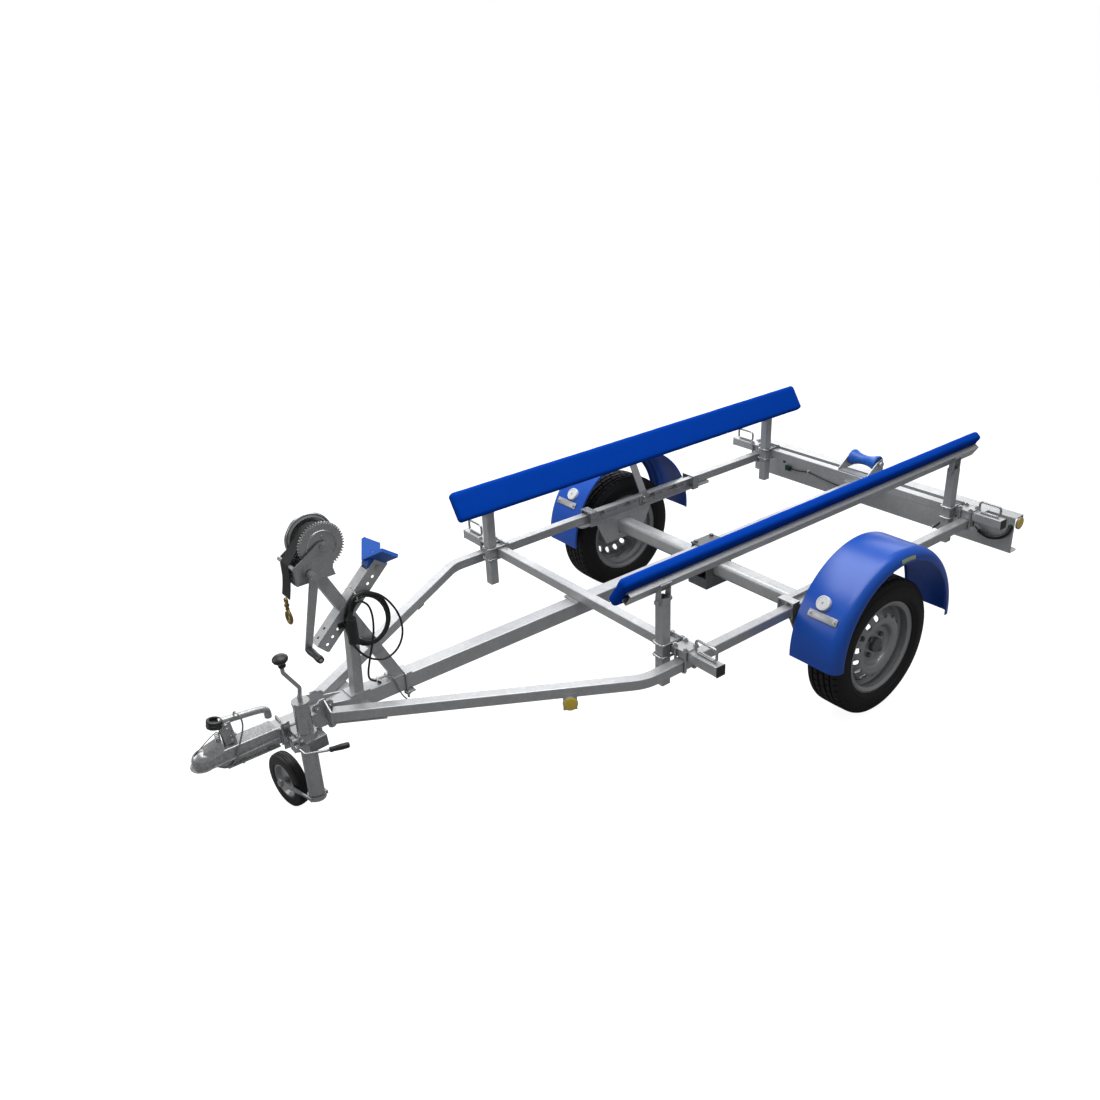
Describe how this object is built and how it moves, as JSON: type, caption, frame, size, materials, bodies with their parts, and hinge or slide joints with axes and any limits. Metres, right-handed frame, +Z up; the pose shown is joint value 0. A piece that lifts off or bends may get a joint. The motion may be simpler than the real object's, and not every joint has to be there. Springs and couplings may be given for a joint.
{
  "type": "boat trailer",
  "caption": "Galvanised single-axle boat trailer: bent side rails, drawbar with ball coupling and jockey wheel, padded bunks, keel roller, winch stand and rolled mudguards.",
  "frame": {"origin": "middle of the footprint on the floor, with the trailer parked on its tyres and jockey wheel", "axes": "+X forward to the coupling, +Y to the trailer's left, +Z up; the chassis is pitched nose-down about Y"},
  "size_m": [3.5096, 1.732, 1.0598],
  "materials": {
    "galvanised": "satin",
    "zinc_plated": "satin",
    "dark_steel": "satin",
    "coupling_casting": "satin",
    "wheel_steel": "satin",
    "tyre": "matte",
    "solid_rubber": "matte",
    "blue_plastic": "gloss",
    "blue_carpet": "matte",
    "black_plastic": "matte",
    "webbing": "matte",
    "brass_plated": "satin",
    "lamp_plastic": "gloss",
    "amber_plastic": "gloss"
  },
  "bodies": {
    "chassis": {"axle_beam": "galvanised", "axle_hangers": "galvanised", "axle_saddle": "dark_steel", "bow_block": "blue_plastic", "bow_stop_channel": "galvanised", "bunk_posts": "galvanised", "cable_coil": "black_plastic", "cable_run": "black_plastic", "clamp_lever": "zinc_plated", "clamp_plates": "galvanised", "clamp_rods": "zinc_plated", "coupling_body": "coupling_casting", "coupling_grip": "black_plastic", "coupling_handle": "galvanised", "cross_tubes": "galvanised", "drawbar_tube": "galvanised", "hanger_clamps": "galvanised", "jack_bracket": "galvanised", "jack_crank": "galvanised", "jack_knob": "black_plastic", "jack_outer_tube": "galvanised", "mudguard_struts": "galvanised", "mudguards": "blue_plastic", "nose_gusset": "galvanised", "plug": "black_plastic", "plug_holder": "black_plastic", "rear_beam": "galvanised", "roller_bracket": "galvanised", "side_rails": "galvanised", "side_reflectors": "amber_plastic", "strap_hook": "brass_plated", "swing_arms": "galvanised", "tail_lamps": "lamp_plastic", "tie_loops": "galvanised", "tube_caps": "black_plastic", "winch_frame": "zinc_plated", "winch_post": "galvanised", "winch_strap": "webbing"},
    "wheel_left": {"tyre_left": "tyre", "rim_left": "wheel_steel", "hub_left": "zinc_plated"},
    "wheel_right": {"tyre_right": "tyre", "rim_right": "wheel_steel", "hub_right": "zinc_plated"},
    "jack_slider": {"jack_leg": "galvanised"},
    "jockey_wheel": {"jockey_tyre": "solid_rubber", "jockey_rim": "wheel_steel"},
    "roller": {"keel_roller": "blue_plastic"},
    "drum": {"winch_drum": "zinc_plated"},
    "crank": {"winch_crank": "zinc_plated", "crank_grip": "black_plastic"},
    "bunk_left": {"bunk_channel_left": "galvanised", "bunk_pad_left": "blue_carpet"},
    "bunk_right": {"bunk_channel_right": "galvanised", "bunk_pad_right": "blue_carpet"}
  },
  "joints": [
    {"name": "wheel_left_spin", "type": "hinge", "parent": "chassis", "child": "wheel_left", "pos_m": [-0.66609, 0.751, 0.285], "axis": [0, 1, 0], "continuous": true},
    {"name": "wheel_right_spin", "type": "hinge", "parent": "chassis", "child": "wheel_right", "pos_m": [-0.66609, -0.751, 0.285], "axis": [0, 1, 0], "continuous": true},
    {"name": "jack_slide", "type": "slide", "parent": "chassis", "child": "jack_slider", "axis": [-0.0497, 0, -0.9988], "range_m": [0, 0.25]},
    {"name": "jockey_spin", "type": "hinge", "parent": "jack_slider", "child": "jockey_wheel", "pos_m": [1.42312, -0.08027, 0.10095], "axis": [0.989, 0.1392, -0.0492], "continuous": true},
    {"name": "roller_spin", "type": "hinge", "parent": "chassis", "child": "roller", "pos_m": [-1.61569, 0, 0.63863], "axis": [0, 1, 0], "continuous": true},
    {"name": "drum_spin", "type": "hinge", "parent": "chassis", "child": "drum", "pos_m": [1.26782, 0, 0.97975], "axis": [0, 1, 0], "continuous": true},
    {"name": "crank_spin", "type": "hinge", "parent": "chassis", "child": "crank", "pos_m": [1.32065, 0, 0.90303], "axis": [0, 1, 0], "continuous": true},
    {"name": "bunk_left_tilt", "type": "hinge", "parent": "chassis", "child": "bunk_left", "pos_m": [-0.64487, 0.532, 0.71147], "axis": [0.9988, 0, -0.0497], "range_deg": [-10, 10]},
    {"name": "bunk_right_tilt", "type": "hinge", "parent": "chassis", "child": "bunk_right", "pos_m": [-0.64487, -0.532, 0.71147], "axis": [0.9988, 0, -0.0497], "range_deg": [-10, 10]}
  ],
  "couplings": [
    {"joint": "crank_spin", "follows": "drum_spin", "ratio": -4.1667}
  ]
}
